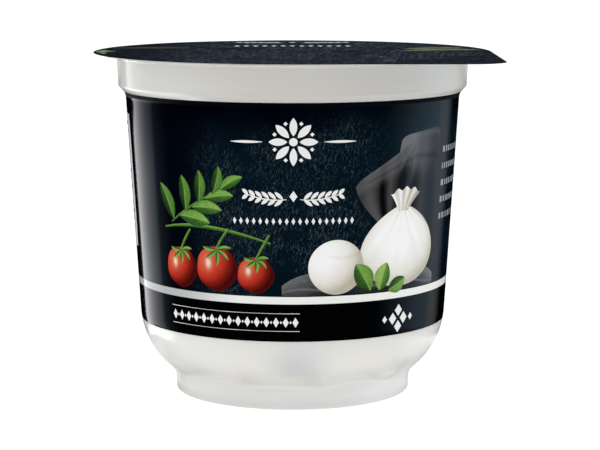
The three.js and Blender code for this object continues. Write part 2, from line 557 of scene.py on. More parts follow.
def milkyPlastic():
    # satin polypropylene: milky, warm or bluish by its hue, which strays in soft patches; its colour is
    # scaled by the painted light and shade (and the brine) laid on the cup's points
    material, tree, shader = newMaterial("milkyPlastic")
    cloud = objectNoise(tree, plastic["cloud"], detail=1.0)
    patch = calc(tree, "SUBTRACT", objectNoise(tree, plastic["patch"], detail=1.5), 0.5)
    hue = calc(tree, "MULTIPLY_ADD", patch, plastic["patchPower"], attribute(tree, "hue"))
    colour = ramp(tree, hue, plastic["colours"])
    # the colour times the painted light and shade
    milk = addNode(tree, "ShaderNodeVectorMath", {0: colour}, operation="SCALE")
    plug(tree, milk.inputs["Scale"], attribute(tree, "milk"))
    plug(tree, shader.inputs["Base Color"], milk.outputs[0])
    rough = calc(tree, "MULTIPLY_ADD", cloud, plastic["roughMore"], plastic["roughness"])
    plug(tree, shader.inputs["Roughness"], rough)
    fill(tree, shader, plastic["inputs"])
    bumpFrom(tree, shader, objectNoise(tree, plastic["grain"]), *plastic["relief"])
    return material


cupShape, overSeam = cupGrid()
cupEnds = [(0.0, 0.0, cup["dishDepth"] - cup["nubDrop"]), (0.0, 0.0, cup["flangeTop"])]
# painted light and shade, with the brine, and the hue at each of the cup's points
milk, hue = cupTones(cupShape, overSeam)
cupValues = {"milk": np.append(milk.ravel(), [1.0, 1.0]), "hue": np.append(hue.ravel(), [0.5, 0.5])}
cupBody = closedLoft("cupBody", cupShape, *cupEnds, cupValues)
dress(cupBody, milkyPlastic(), node="cup")

label = {
    "columns": 360 if fine else 180,
    "thickness": 0.3,
    "roundRadius": 38.5,     # turns arc length on the print into an angle
    "stripeLow": 26.52,
    "stripeHigh": 28.24,
    "stripeDark": (0.80, 0.82, 0.79),
    "stripePale": (0.88, 0.89, 0.86),
    "bandColour": (0.0006, 0.0008, 0.0011),
    "bandBlur": 0.04,        # how soft the printed edges are
    "stripeBlur": 0.05,
    "roughness": 0.085,
    "seamTurn": 168.0,
    "seamWidth": 5.0,
}

glossPrint = {"Roughness": label["roughness"], "IOR": 1.46, "Specular IOR Level": 0.14}
dullPrint = {"Roughness": 0.5, "IOR": 1.46, "Specular IOR Level": 0.1}


def labelGrid():
    heights = np.concatenate([
        np.linspace(labelLow.z / mm, 20.0, 6),
        np.linspace(20.0, cup["wallTop"], 40)[1:],
        np.linspace(cup["wallTop"], labelHigh.z / mm, 9)[1:],
    ])
    outer = np.stack([labelFace(heights), heights], -1)
    inner = outer[::-1] - np.array([label["thickness"], 0.0])
    return turned(np.concatenate([outer, inner]), label["columns"])


def slateColour(tree, place, stone, dense, share):
    # dark stone, lighter where it is dense, with short pale streaks along its grain by their share
    warp = times(tree, objectNoise(tree, 0.3), stone["waver"])
    shifted = addNode(tree, "ShaderNodeVectorMath", {0: place, 1: warp}, operation="ADD").outputs[0]
    streak = noiseAt(tree, shifted, detail=3.0, roughness=0.6, distortion=stone["distortion"])
    cloud = softRange(tree, objectNoise(tree, (0.12, 0.12, 0.09)), stone["cloudLow"], stone["cloudHigh"])
    pale = softRange(tree, streak, stone["streakLow"], stone["streakHigh"])
    base = mixColours(tree, dense, stone["dark"], stone["ground"])
    return mixColours(tree, times(tree, cloud, share, pale), base, stone["streak"]), streak


labelStone = {
    "dark": (0.0003, 0.0006, 0.0027),
    "ground": (0.0009, 0.0060, 0.0118),
    "streak": (0.060, 0.080, 0.098),
    "streakLow": 0.485,
    "streakHigh": 0.74,
    "cloudLow": 0.30,
    "cloudHigh": 0.60,
    "waver": 9.0,            # how far the streaks stray from straight
    "distortion": 0.3,
    "grain": (3.1, 3.1, 0.62),
    "twist": -0.0065,        # radians a millimetre of height, so that the streaks lean
    "relief": (0.03, 0.02),  # strength and depth of the bumps
    "topLow": 66.0,          # the stone darkens upwards from here
    "topHigh": 77.5,
    "topLean": 0.04,         # later on the right than on the left
    "topDrift": 10.0,        # and unevenly, by so many mm
    "leftFrom": -16.0,       # it is darker on the left
    "leftTo": -26.0,
    "leftShare": 0.15,
    "thinFrom": 8.0,         # with fewer streaks on the right
    "thinTo": 20.0,
    "thinLoss": 0.6,
    "greyStripe": (0.46, 0.47, 0.47),
    "greyFrom": -27.0,       # the stripe is greyer to the left of here
    "greyTo": -10.0,
    "greyBack": 14.0,        # but not round the back
    "flareLow": 71.1,        # the stretched top edge is duller
    "flareHigh": 71.6,
    "flareRough": 0.6,
}


def slatePrint():
    stone = labelStone
    material, tree, shader = newMaterial("slatePrint")
    place = objectPlace(tree)
    x, y, height = axes(tree, place)
    leaning = calc(tree, "MULTIPLY_ADD", x, -stone["topLean"], height)
    drift = objectNoise(tree, 0.07, detail=1.0)
    leaning = calc(tree, "MULTIPLY_ADD", drift, stone["topDrift"], leaning)
    left = softRange(tree, x, stone["leftTo"], stone["leftFrom"])
    left = calc(tree, "MULTIPLY_ADD", left, 1.0 - stone["leftShare"], stone["leftShare"])
    dense = times(tree, softRange(tree, leaning, stone["topHigh"], stone["topLow"]), left)
    thin = softRange(tree, x, stone["thinFrom"], stone["thinTo"])
    thin = calc(tree, "MULTIPLY_ADD", thin, -stone["thinLoss"], 1.0)
    grain = turnedPlace(tree, place, times(tree, height, stone["twist"]), stone["grain"])
    colour, streak = slateColour(tree, grain, stone, dense, times(tree, dense, dense, thin))
    low, high, blur = label["stripeLow"], label["stripeHigh"], label["bandBlur"]
    band = softRange(tree, height, low + blur, low - blur)
    colour = mixColours(tree, band, colour, label["bandColour"])
    pale = mixColours(tree, objectNoise(tree, 0.9), label["stripeDark"], label["stripePale"])
    # the stripe turns greyer towards the left, though not round the back
    greyer = softRange(tree, x, stone["greyTo"], stone["greyFrom"])
    greyer = times(tree, greyer, softRange(tree, y, stone["greyBack"], 0.0))
    stripe = between(tree, height, low, high, label["stripeBlur"])
    colour = mixColours(tree, stripe, colour, mixColours(tree, greyer, pale, stone["greyStripe"]))
    plug(tree, shader.inputs["Base Color"], colour)
    fill(tree, shader, glossPrint)
    flare = softRange(tree, height, stone["flareLow"], stone["flareHigh"])
    rough = calc(tree, "MULTIPLY_ADD", flare, stone["flareRough"], label["roughness"])
    plug(tree, shader.inputs["Roughness"], rough)
    bumpFrom(tree, shader, streak, *stone["relief"])
    return material


slateMaterial = slatePrint()
labelSleeve = closedRing("labelSleeve", labelGrid())
dress(labelSleeve, slateMaterial, node="label")


def onLabel(arc, height, lift):
    # arc and height in mm on the label's face: the angle is arc over the round radius
    turn = arc / label["roundRadius"]
    radius = labelFace(height) + lift
    return np.stack([radius * np.sin(turn), -radius * np.cos(turn), height], -1)


def discGrid(rings, columns, square=False):
    # loops of a unit disc from its edge inwards, then its middle; a square's loops where asked
    share = np.linspace(1.0, 0.0, rings + 1)[:-1, None]
    turn = 2.0 * math.pi * np.arange(columns) / columns
    u, v = np.cos(turn), np.sin(turn)
    reach = np.maximum(np.abs(u), np.abs(v)) if square else 1.0
    return np.append(share * (u / reach), 0.0), np.append(share * (v / reach), 0.0)


printLook = {
    "rings": 14 if fine else 8,
    "columns": 64 if fine else 40,
    "step": 0.012,           # how far each layer of ink stands proud of the one below
    "patchStep": 0.0004,     # and each patch of a piece of the patch before it
    "sink": 0.08,
}


def printPiece(name, patches, material, place=onLabel, layer=1, detail=1.0):
    # thin closed patches of ink: each has a form that gives where a unit disc's point (u, v) lies,
    # and a tone that gives its light and its gleam
    points, faces, light, gleam = [], [], [], []
    rings = max(int(printLook["rings"] * detail), 2)
    columns = max(int(printLook["columns"] * detail) // 8 * 8, 8)
    start = 0
    for index, (form, tone, square) in enumerate(patches):
        u, v = discGrid(rings, columns, square)
        across, up = form(u, v)
        top = place(across, up, printLook["step"] * layer + printLook["patchStep"] * index)
        sunk = place(across, up, -printLook["sink"])
        patch = np.concatenate([sunk[:columns], top[:-1], sunk[-1:], top[-1:]])
        shades = [np.broadcast_to(np.asarray(part, float), u.shape) for part in tone(u, v)]
        for store, shade in zip((light, gleam), shades):
            store.append(np.concatenate([shade[:columns], shade[:-1], shade[-1:], shade[-1:]]))
        faces += [[start + i for i in face] for face in loftFaces(rings + 1, columns)]
        points.append(patch)
        start += len(patch)
    values = {"light": np.concatenate(light), "gleam": np.concatenate(gleam)}
    dress(makeObject(name, np.concatenate(points), faces, values), material)


def inkMaterial(name, stops, gleamColour, grain=1.2, grainDepth=0.25, look=glossPrint):
    # the ink's colour follows the painted light through its stops, then the gleam,
    # with a fine grain over both
    material, tree, shader = newMaterial(name)
    noise = calc(tree, "SUBTRACT", objectNoise(tree, grain, detail=3.0, roughness=0.6), 0.5)
    light = calc(tree, "MULTIPLY_ADD", noise, grainDepth, attribute(tree, "light"))
    colour = mixColours(tree, attribute(tree, "gleam"), ramp(tree, light, stops), gleamColour)
    plug(tree, shader.inputs["Base Color"], colour)
    fill(tree, shader, look)
    return material


def flatTone(u, v):
    return 0.6, 0.0


def plain(form, square=True):
    # a patch of one even tone
    return form, flatTone, square


def box(left, right, low, high):
    # a plain field between two arcs and two heights
    def form(u, v):
        return left + (right - left) * asShare(u), low + (high - low) * asShare(v)
    return form


def lozenge(arc, height, halfWidth, halfHeight):
    # a square turned by an eighth
    def form(u, v):
        return arc + halfWidth * (u - v) / 2.0, height + halfHeight * (u + v) / 2.0
    return form


def stroke(points, halfWidth, taper=0.0):
    # a line of ink along a quadratic curve through three control points, thinner towards its
    # ends by taper
    (x0, y0), (x1, y1), (x2, y2) = points

    def form(u, v):
        s = asShare(u)
        dx = 2.0 * (1.0 - s) * (x1 - x0) + 2.0 * s * (x2 - x1)
        dy = 2.0 * (1.0 - s) * (y1 - y0) + 2.0 * s * (y2 - y1)
        norm = np.hypot(dx, dy) + 1e-9
        half = halfWidth * (1.0 - taper * u * u) * v
        return quadratic(s, x0, x1, x2) - half * dy / norm, quadratic(s, y0, y1, y2) + half * dx / norm
    return form


def leaf(root, heading, length, width, bow=0.0):
    # a disc squeezed to a point at both ends, (1 - u^2)^0.35 wide, and bowed by 1 - u^2
    cosine, sine = math.cos(math.radians(heading)), math.sin(math.radians(heading))

    def form(u, v):
        along = length * asShare(u)
        across = width * v * np.clip(1.0 - u * u, 0.0, 1.0) ** 0.35 + bow * (1.0 - u * u)
        return root[0] + along * cosine - across * sine, root[1] + along * sine + across * cosine
    return form


def leafTone(side=1.0, base=0.5):
    # one half of the blade is lighter than the other, the rib is a pale line, and side veins ripple it
    def tone(u, v):
        reach = np.sqrt(np.clip(1.0 - u * u, 0.02, 1.0))
        part = np.clip(v / reach, -1.0, 1.0)
        veins = 0.07 * np.sin(26.0 * (u - 0.55 * np.abs(part))) * np.abs(part)
        halves = 0.2 * side * np.tanh(5.0 * part)
        light = base + halves + veins - 0.18 * part * part + 0.1 * u
        return light, bell(part, 0.0, 0.09) * 0.55 * (0.9 - 0.4 * u)
    return tone


def ball(arc, height, halfWidth, halfHeight, lobes=0.0):
    # a disc, a little lobed round its edge
    def form(u, v):
        turn = np.arctan2(v, u)
        swell = 1.0 + lobes * np.cos(5.0 * turn + 0.6) * np.hypot(u, v) ** 2
        return arc + halfWidth * u * swell, height + halfHeight * v * swell
    return form


def ballTone(gleamAt=(-0.4, 0.22), gleamSize=(0.13, 0.22), gleamPower=0.95, low=0.0, high=1.0,
             lamp=(-0.52, 0.42, 0.74)):
    # light falls off with the angle between a ball's surface and the way to the lamp, and a gleam
    # lies on it as the product of two bell curves
    def tone(u, v):
        w = np.sqrt(np.clip(1.0 - u * u - v * v, 0.0, 1.0))
        lit = np.clip(lamp[0] * u + lamp[1] * v + lamp[2] * w, 0.0, 1.0)
        edge = 0.12 * (1.0 - w) ** 3
        shine = bell(u, gleamAt[0], gleamSize[0]) * bell(v, gleamAt[1], gleamSize[1])
        return low + (high - low) * (lit + edge), shine * gleamPower
    return tone


tomatoInk = inkMaterial(
    "tomatoInk", [(0.0, (0.05, 0.003, 0.003)), (0.35, (0.20, 0.010, 0.006)),
                  (0.7, (0.50, 0.038, 0.020)), (1.0, (0.64, 0.105, 0.05))],
    (0.86, 0.74, 0.60), grainDepth=0.1)
leafInk = inkMaterial(
    "leafInk", [(0.0, (0.006, 0.022, 0.004)), (0.35, (0.035, 0.11, 0.016)),
                (0.65, (0.12, 0.28, 0.045)), (1.0, (0.34, 0.52, 0.13))],
    (0.36, 0.50, 0.18), grain=0.9, grainDepth=0.3)
curdInk = inkMaterial(
    "curdInk", [(0.0, (0.20, 0.175, 0.135)), (0.4, (0.50, 0.465, 0.38)),
                (0.7, (0.76, 0.745, 0.68)), (1.0, (0.92, 0.92, 0.92))],
    (0.96, 0.96, 0.97), grain=0.6, grainDepth=0.12)
stoneInk = inkMaterial(
    "stoneInk", [(0.0, (0.004, 0.005, 0.007)), (0.4, (0.028, 0.028, 0.031)),
                 (0.7, (0.085, 0.086, 0.092)), (1.0, (0.17, 0.17, 0.18))],
    (0.26, 0.26, 0.27), grain=(0.9, 0.9, 4.5), grainDepth=0.5)
linenInk = inkMaterial(
    "linenInk", [(0.0, (0.0014, 0.0012, 0.003)), (0.18, (0.010, 0.0085, 0.009)),
                 (0.35, (0.027, 0.023, 0.023)), (0.7, (0.078, 0.077, 0.080)),
                 (1.0, (0.142, 0.147, 0.154))],
    (0.16, 0.165, 0.17), grain=3.2, grainDepth=0.14)
whiteInk = inkMaterial(
    "whiteInk", [(0.0, (0.66, 0.68, 0.66)), (1.0, (0.96, 0.96, 0.95))], (0.9, 0.9, 0.9), grainDepth=0.2)
greyInk = inkMaterial(
    "greyInk", [(0.0, (0.20, 0.21, 0.22)), (1.0, (0.42, 0.43, 0.44))], (0.4, 0.4, 0.4), grainDepth=0.3)

# two flaps of folded cloth: the corners from the lower left on, how far the sides sway and the top
# edge is domed, the tone, and each fold's power, place, lean and width
linen = [
    {"corners": ((23.0, 29.0), (40.3, 29.0), (40.3, 64.6), (26.2, 63.0)), "sway": -0.8, "rise": 1.1,
     "level": 0.21, "hem": 0.98, "fade": 0.95,
     "folds": [(0.24, 0.14, 0.12, 0.10), (-0.22, 0.34, 0.12, 0.08), (0.13, 0.55, 0.06, 0.10),
               (-0.12, 0.80, 0.0, 0.08)]},
    {"corners": ((20.0, 45.0), (27.0, 41.0), (31.0, 62.4), (14.4, 53.0)), "sway": -0.9, "rise": 1.0,
     "level": 0.36, "hem": 0.34, "fade": -0.3,
     "folds": [(0.34, 0.12, 0.06, 0.14), (-0.40, 0.38, 0.04, 0.07), (0.16, 0.54, 0.04, 0.06),
               (-0.55, 0.78, 0.04, 0.10)]},
]


def flap(cloth):
    # one fold of cloth: straight between its four corners, its sides swayed by a sine of the height
    # and its top edge a rounded shoulder, 1 - |2s - 1|^8 high
    def form(u, v):
        s, t = asShare(u), asShare(v)
        x, y = [(1.0 - t) * ((1.0 - s) * a + s * b) + t * ((1.0 - s) * d + s * c)
                for a, b, c, d in zip(*cloth["corners"])]
        shoulder = 1.0 - np.abs(2.0 * s - 1.0) ** 8
        return x + cloth["sway"] * np.sin(math.pi * t) * (1.0 - s), y + cloth["rise"] * shoulder * t * t
    return form


def foldTone(cloth):
    # cloth of one level, paler along its upper hem, less so to the right by the fade. Each soft ridge
    # or hollow is a bell curve across, at a place that leans with height and of a width that narrows
    # with it, and nearly dies away under the hem. A dark crease runs along below the hem
    def tone(u, v):
        s, t = asShare(u), asShare(v)
        light = cloth["level"] + 0.03 * np.sin(9.0 * s + 5.0 * t)
        for power, place, lean, width in cloth["folds"]:
            fold = bell(s, place + lean * t, width * (1.3 - 0.6 * t))
            light = light + power * fold * (1.0 - 0.75 * smoothStep(t, 0.62, 0.90))
        light = light + cloth["hem"] * (1.0 - cloth["fade"] * s) * smoothStep(t, 0.66, 0.86)
        light = light - 0.22 * bell(t, 0.87 - 0.05 * s, 0.018) * smoothStep(s, 0.05, 0.3)
        return light, bell(t, 0.975, 0.012) * 0.25
    return tone


printPiece("printLinen", [(flap(cloth), foldTone(cloth), True) for cloth in linen],
           linenInk, layer=1, detail=3.0 if fine else 2.0)

slab = {"arc": 19.0, "halfWidth": 21.5, "low": 28.5, "edge": 29.0, "dome": 6.2}


def slabForm(u, v):
    # a low slab seen nearly edge on: flat below, its top edge a shallow dome, (1 - s^2)^0.45 high
    s = 0.97 * u
    top = slab["edge"] + slab["dome"] * np.clip(1.0 - s * s, 0.0, 1.0) ** 0.45
    return slab["arc"] + slab["halfWidth"] * u, slab["low"] + (top - slab["low"]) * asShare(v)


def slabTone(u, v):
    # the top catches light, its front edge is a bright chipped line, and the ball and the pouch
    # that stand on it shade it
    arc = slab["arc"] + slab["halfWidth"] * u
    shade = np.clip(bell(arc, 10.5, 5.5) + bell(arc, 27.0, 9.5), 0.0, 1.0)
    light = 0.75 + 0.2 * v - 0.5 * shade + 0.2 * smoothStep(arc, 33.0, 39.0)
    return light, bell(v, -0.45 - 0.12 * np.sin(9.0 * u), 0.1) * 0.4


printPiece("printStone", [(slabForm, slabTone, True)], stoneInk, layer=2, detail=2.0)

pouch = {"arc": 27.5, "height": 38.2, "halfWidth": 11.5, "halfHeight": 9.3, "neck": 3.0, "frill": 5.2}
pouchLight = ballTone(gleamSize=(0.22, 0.3), gleamPower=0.35, low=0.38, high=1.05, lamp=(-0.12, 0.36, 0.92))
pearl = {"arc": 10.3, "height": 34.9, "halfWidth": 6.7, "halfHeight": 6.3}
pearlLight = ballTone(gleamSize=(0.2, 0.26), gleamPower=0.3, low=0.36, high=1.06)


def pouchBody(u, v):
    # a sagging ball: wider below its middle, flat where it stands, drawn up towards the neck
    wide = 1.0 - 0.13 * v - 0.05 * v * v
    drawn = 0.10 * np.clip(v, 0.0, 1.0) ** 3 * (1.0 - np.abs(u)) ** 2
    tall = np.where(v < 0.0, 0.95 * v, v * (1.0 + drawn))
    return pouch["arc"] + pouch["halfWidth"] * u * wide, pouch["height"] + pouch["halfHeight"] * tall


def pouchTone(u, v):
    # a ball's light, pleated by a sine of the angle about the neck that dies away downwards
    light, shine = pouchLight(u, v)
    turn = np.arctan2(u, 1.12 - v)
    depth = 0.21 * np.exp(-1.7 * np.hypot(u, 1.05 - v))
    pleats = np.sin(17.0 * turn) + 0.6 * np.sin(29.0 * turn + 1.0)
    crease = 0.05 * np.sin(9.0 * turn + 2.0) * np.exp(-0.5 * (1.0 - v))
    return light + depth * pleats + crease, shine


def frillForm(u, v):
    # the gathered end: narrow at the tie, fanned out above it by t^1.4, with a scalloped edge
    t = asShare(v)
    reach = 1.7 + pouch["neck"] * t ** 1.4
    base = pouch["height"] + pouch["halfHeight"] * 0.93
    top = pouch["frill"] * (1.0 - 0.22 * u * u + 0.07 * np.cos(11.0 * u))
    return pouch["arc"] + reach * u + 0.9 * t, base + top * t


def frillTone(u, v):
    # pleats that deepen upwards, dark at the tie and to the right
    t = asShare(v)
    pleats = 0.26 * np.sin(12.0 * u + 0.5) * (0.4 + 0.6 * t)
    return 0.62 + pleats - 0.35 * np.exp(-t / 0.14) - 0.2 * u, 0.0


def pearlTone(u, v):
    # a ball's light with one faint bowed crease
    light, shine = pearlLight(u, v)
    crease = bell(v, 0.35 + 0.3 * u * u - 0.1 * u, 0.06) * (1.0 - u * u)
    return light - 0.14 * np.clip(crease, 0.0, 1.0), shine


printPiece("printCurd", [
    (frillForm, frillTone, True),
    (pouchBody, pouchTone, False),
    (ball(*pearl.values()), pearlTone, False),
], curdInk, layer=3, detail=2.0)

vine = {
    "tomatoes": [(-28.6, 33.7, 4.7), (-18.3, 34.2, 5.2), (-8.6, 33.1, 4.2)],     # arc, height, radius
    # control points, half width, taper and tone
    "mainStalk": (((-33.5, 42.6), (-20.0, 45.6), (-5.0, 40.4)), 0.42, 0.5, 0.5),
    "shortStalk": (0.33, 0.2, 0.5),
    "twigStem": (((-31.0, 44.0), (-24.5, 48.6), (-15.0, 53.2)), 0.3, 0.4, 0.4),
    "sepals": (172.0, 215.0, 268.0, 322.0, 8.0),             # their headings in degrees
    # first and last root, headings in degrees, then length, width, bow and tone
    "twig": (((-31.0, 44.2), (-15.6, 53.0)), (118.0, -8.0, 96.0, -2.0, 88.0, 8.0, 76.0, 30.0),
             9.4, 1.9, 0.4, 0.48),
    "herb": (((18.0, 29.0), (25.5, 28.6)), (122.0, 74.0, 26.0), 7.9, 2.55, 0.25, 0.64),
}

printPiece("printTomatoes", [
    (ball(arc, height, radius * 1.04, radius, lobes=0.02), ballTone(), False)
    for arc, height, radius in vine["tomatoes"]
], tomatoInk, layer=2, detail=2.0)


def stalk(points, halfWidth, taper, level):
    # a stroke that is lighter along its upper edge
    return stroke(points, halfWidth, taper), lambda u, v: (level + 0.3 * v, 0.0), True


def vineStalks():
    # one main stalk over the three, and a short one down to each
    made = [stalk(*vine["mainStalk"])]
    for arc, height, radius in vine["tomatoes"]:
        top = height + radius * 0.86
        joint = 43.6 - 0.05 * abs(arc + 20.0) ** 1.3
        path = ((arc + 0.2, top), (arc + 1.4, top + 2.4), (arc + 3.4, joint))
        made.append(stalk(path, *vine["shortStalk"]))
    return made


def calyxLeaves():
    # narrow sepals round each short stalk
    made = []
    for arc, height, radius in vine["tomatoes"]:
        root = (arc + 0.2, height + radius * 0.84)
        for heading in vine["sepals"]:
            made.append((leaf(root, heading, radius * 0.72, 0.5, 0.25), leafTone(base=0.62), False))
    return made


def twigLeaves(roots, headings, length, width, bow, base):
    # leaves to both sides along a straight twig, each a little shorter than the one before
    (x0, y0), (x1, y1) = roots
    made = []
    for index, heading in enumerate(headings):
        share = (index + 0.4) / len(headings)
        root = (x0 + (x1 - x0) * share, y0 + (y1 - y0) * share)
        size = 1.0 - 0.35 * share
        side = 1.0 if index % 2 else -1.0
        blade = leaf(root, heading, length * size, width * size, side * bow)
        made.append((blade, leafTone(side, base + 0.1 * side), False))
    return made


greens = vineStalks() + calyxLeaves() + [stalk(*vine["twigStem"])]
greens += twigLeaves(*vine["twig"]) + twigLeaves(*vine["herb"])
printPiece("printGreens", greens, leafInk, layer=4, detail=0.8)


def garland(x, y, size):
    # two mirrored sprays of small leaves with a lozenge between them
    made = [plain(lozenge(x, y + 0.1 * size, 0.9 * size, 1.25 * size))]
    for side in (-1.0, 1.0):
        x0, y0 = x + side * 1.5 * size, y - 0.6 * size
        x1, y1 = x + side * 11.0 * size, y + 0.7 * size
        stem = ((x0, y0), ((x0 + x1) / 2.0, y0 - 0.6 * size), (x1, y1))
        made.append(plain(stroke(stem, 0.14 * size, 0.5)))
        for index in range(6):
            share = (index + 0.5) / 6.0
            sag = 1.2 * size * share * (1.0 - share)
            root = (x0 + (x1 - x0) * share, y0 + (y1 - y0) * share - sag)
            for lean in (42.0, -38.0):
                heading = lean if side > 0 else 180.0 - lean
                blade = leaf(root, heading, (2.6 - 0.9 * share) * size, 0.42 * size)
                made.append(plain(blade, square=False))
    return made


def rosette(x, y, size, petals):
    # a ring of separate petals round a disc, with a small lozenge between every two
    made = [plain(ball(x, y, 0.17 * size, 0.17 * size), square=False)]
    for index in range(petals):
        heading = 360.0 * index / petals + 90.0
        turn = math.radians(heading)
        root = (x + 0.25 * size * math.cos(turn), y + 0.25 * size * math.sin(turn))
        made.append(plain(leaf(root, heading, 0.75 * size, 0.155 * size), square=False))
        turn += math.pi / petals
        spot = (x + 0.82 * size * math.cos(turn), y + 0.82 * size * math.sin(turn))
        made.append(plain(lozenge(*spot, 0.09 * size, 0.09 * size)))
    return made


# arcs and heights in mm; the half of a lozenge or a rule is its half width and half height
ornament = {
    "garland": (0.2, 51.2, 1.0),             # and its size
    "rosette": (0.2, 63.6, 5.4, 8),          # and its size and petals
    "rules": (-10.2, 10.6),
    "ruleHeight": 63.6,
    "ruleHalf": (3.6, 0.3),
    "rowArc": 0.2,
    "rowHeight": 45.6,
    "rowPitch": 1.5,
    "rowSide": 9,                            # lozenges to each side of the middle one
    "rowHalf": (0.42, 0.8),
    "borderArc": -31.5,
    "borderHeight": 22.3,
    "borderPitch": 2.3,
    "borderCount": 15,
    "borderHalf": (0.72, 1.15),
    "dotHalf": (0.26, 0.36),
    "lineEnds": (-32.5, 1.7),
    "lines": ((24.3, 24.42), (20.2, 20.32)),
    "crossArc": 27.6,
    "crossHeight": 21.7,
    "crossReach": (1.75, 1.9),
    "crossHalf": (1.15, 1.4),
    "sideHalf": (0.7, 0.85),
}


def ornaments():
    made = garland(*ornament["garland"]) + rosette(*ornament["rosette"])
    height = ornament["ruleHeight"]
    halfLength, halfHeight = ornament["ruleHalf"]
    for arc in ornament["rules"]:
        ends = ((arc - halfLength, height), (arc, height), (arc + halfLength, height))
        made.append(plain(stroke(ends, halfHeight, 0.85)))
    for index in range(-ornament["rowSide"], ornament["rowSide"] + 1):
        arc = ornament["rowArc"] + ornament["rowPitch"] * index
        made.append(plain(lozenge(arc, ornament["rowHeight"], *ornament["rowHalf"])))
    # a running border of lozenges and dots between two lines on the dark band
    height = ornament["borderHeight"]
    for index in range(ornament["borderCount"]):
        arc = ornament["borderArc"] + ornament["borderPitch"] * index
        made.append(plain(lozenge(arc, height, *ornament["borderHalf"])))
        if index < ornament["borderCount"] - 1:
            arc += ornament["borderPitch"] / 2.0
            made.append(plain(lozenge(arc, height, *ornament["dotHalf"])))
    made += [plain(box(*ornament["lineEnds"], *heights)) for heights in ornament["lines"]]
    # four lozenges beside it in a cross, and a smaller one at its left and its right
    arc, height = ornament["crossArc"], ornament["crossHeight"]
    across, up = ornament["crossReach"]
    for dx, dy in ((-across, 0.0), (across, 0.0), (0.0, up), (0.0, -up)):
        made.append(plain(lozenge(arc + dx, height + dy, *ornament["crossHalf"])))
        if dy == 0.0:
            made.append(plain(lozenge(arc + 2.4 * dx, height, *ornament["sideHalf"])))
    return made


printPiece("printOrnament", ornaments(), whiteInk, layer=5, detail=0.5)

panel = {"left": -88.0, "right": -51.4, "low": 35.4, "high": 67.4, "corner": 0.3}
# rows of dashes: seed, left, right, heights, half a dash's height, and the dashes' lengths and gap
panelRows = (7, -86.0, -53.4, np.arange(38.0, 66.5, 1.9), 0.36)
sideRows = (11, 42.4, 66.0, np.linspace(44.0, 59.8, 5), 0.7, (0.5, 1.5), 0.75)
backRows = (12, 96.0, 124.0, np.arange(33.0, 66.0, 2.4), 0.4)


def dashedLines(seed, left, right, heights, thickness, lengths=(1.0, 3.4), gap=0.45):
    # rows of short dashes of uneven length that stand for small print
    draw = np.random.default_rng(seed)
    made = []
    for height in heights:
        arc = left
        end = right - draw.uniform(0.0, 0.25) * (right - left)
        while arc < end - lengths[0]:
            length = min(draw.uniform(*lengths), end - arc)
            made.append(plain(box(arc, arc + length, height - thickness, height + thickness)))
            arc += length + gap
    return made


def panelForm(u, v):
    # a field with rounded corners: the square's loops drawn in by |uv|^8 where both sides meet
    pull = np.clip(np.abs(u * v), 0.0, 1.0) ** 8 * panel["corner"]
    across, up = box(panel["left"], panel["right"], panel["low"], panel["high"])(u, v)
    return across - np.sign(u) * pull, up - np.sign(v) * pull


printPiece("sidePanel", [plain(panelForm)], whiteInk, layer=2, detail=2.0)
printPiece("sidePanelLines", dashedLines(*panelRows), slateMaterial, layer=4, detail=0.25)
printPiece("smallPrint", dashedLines(*sideRows) + dashedLines(*backRows), greyInk, layer=1, detail=0.25)

seamArc = math.radians(label["seamTurn"]) * label["roundRadius"]
seamBox = box(seamArc, seamArc + label["seamWidth"], labelLow.z / mm + 0.05, labelHigh.z / mm - 2.2)
printPiece("labelSeam", [plain(seamBox)], slateMaterial, layer=4, detail=2.0)
print("print made")

lid = {
    "radius": lidHigh.y / mm,
    "tabCorner": 8.4,
    "steps": 320,
    "rings": 60,
    "sealInner": 42.4,
    "sealOuter": 44.6,
    "sealEdge": 0.5,
    "sealDepth": 0.06,
    "sag": 0.012,
    "face": lidHigh.z / mm - 0.035,      # the film's face lies under its box, which leaves room for the ink
    "under": lidLow.z / mm + 0.005,
    "rimLift": 0.017,        # it rises a little past the flange, where it is the film alone
    "rimThickness": 0.07,
    "inkDepth": 0.02,
}

lidStone = {
    "dark": (0.009, 0.0145, 0.023),
    "ground": (0.0235, 0.0375, 0.060),
    "streak": (0.205, 0.250, 0.308),
    "streakLow": 0.48,
    "streakHigh": 0.74,
    "cloudLow": 0.22,
    "cloudHigh": 0.55,
    "waver": 3.5,
    "distortion": 0.4,
    "grain": (1.6, 0.28, 1.0),
    "slant": 0.25,           # radians from straight back
    "relief": (0.05, 0.02),
    "rimNear": 91.3,         # the rim is darker: distances from the foot's middle to the lid's face
    "rimFar": 94.3,
    "rimShare": 0.55,
    "leftFrom": -14.0,       # and so is the left
    "leftTo": -40.0,
    "leftShare": 0.35,
    "driftLow": 0.65,        # an uneven tone over all
    "driftMore": 0.7,
}


def lidOutline(count):
    # three quarters of a circle, then a square corner with a rounded tip, at even steps of length
    radius, corner = lid["radius"], lid["tabCorner"]
    circle = np.radians(np.linspace(0.0, 270.0, 540))
    tip = np.radians(np.linspace(-90.0, 0.0, 90))
    path = np.concatenate([
        radius * np.stack([np.cos(circle), np.sin(circle)], -1),
        np.array([radius - corner, corner - radius]) + corner * np.stack([np.cos(tip), np.sin(tip)], -1),
        [[radius, 0.0]],
    ])
    length = np.concatenate([[0.0], np.cumsum(np.hypot(*np.diff(path, axis=0).T))])
    even = np.linspace(0.0, length[-1], count + 1)[:-1]
    return np.stack([np.interp(even, length, path[:, 0]), np.interp(even, length, path[:, 1])], -1)


def pastFlange(x, y):
    # 0 over the cup, 1 where the film is free
    return smoothStep(np.hypot(x, y), cup["flangeRadius"], cup["flangeRadius"] + 0.8)


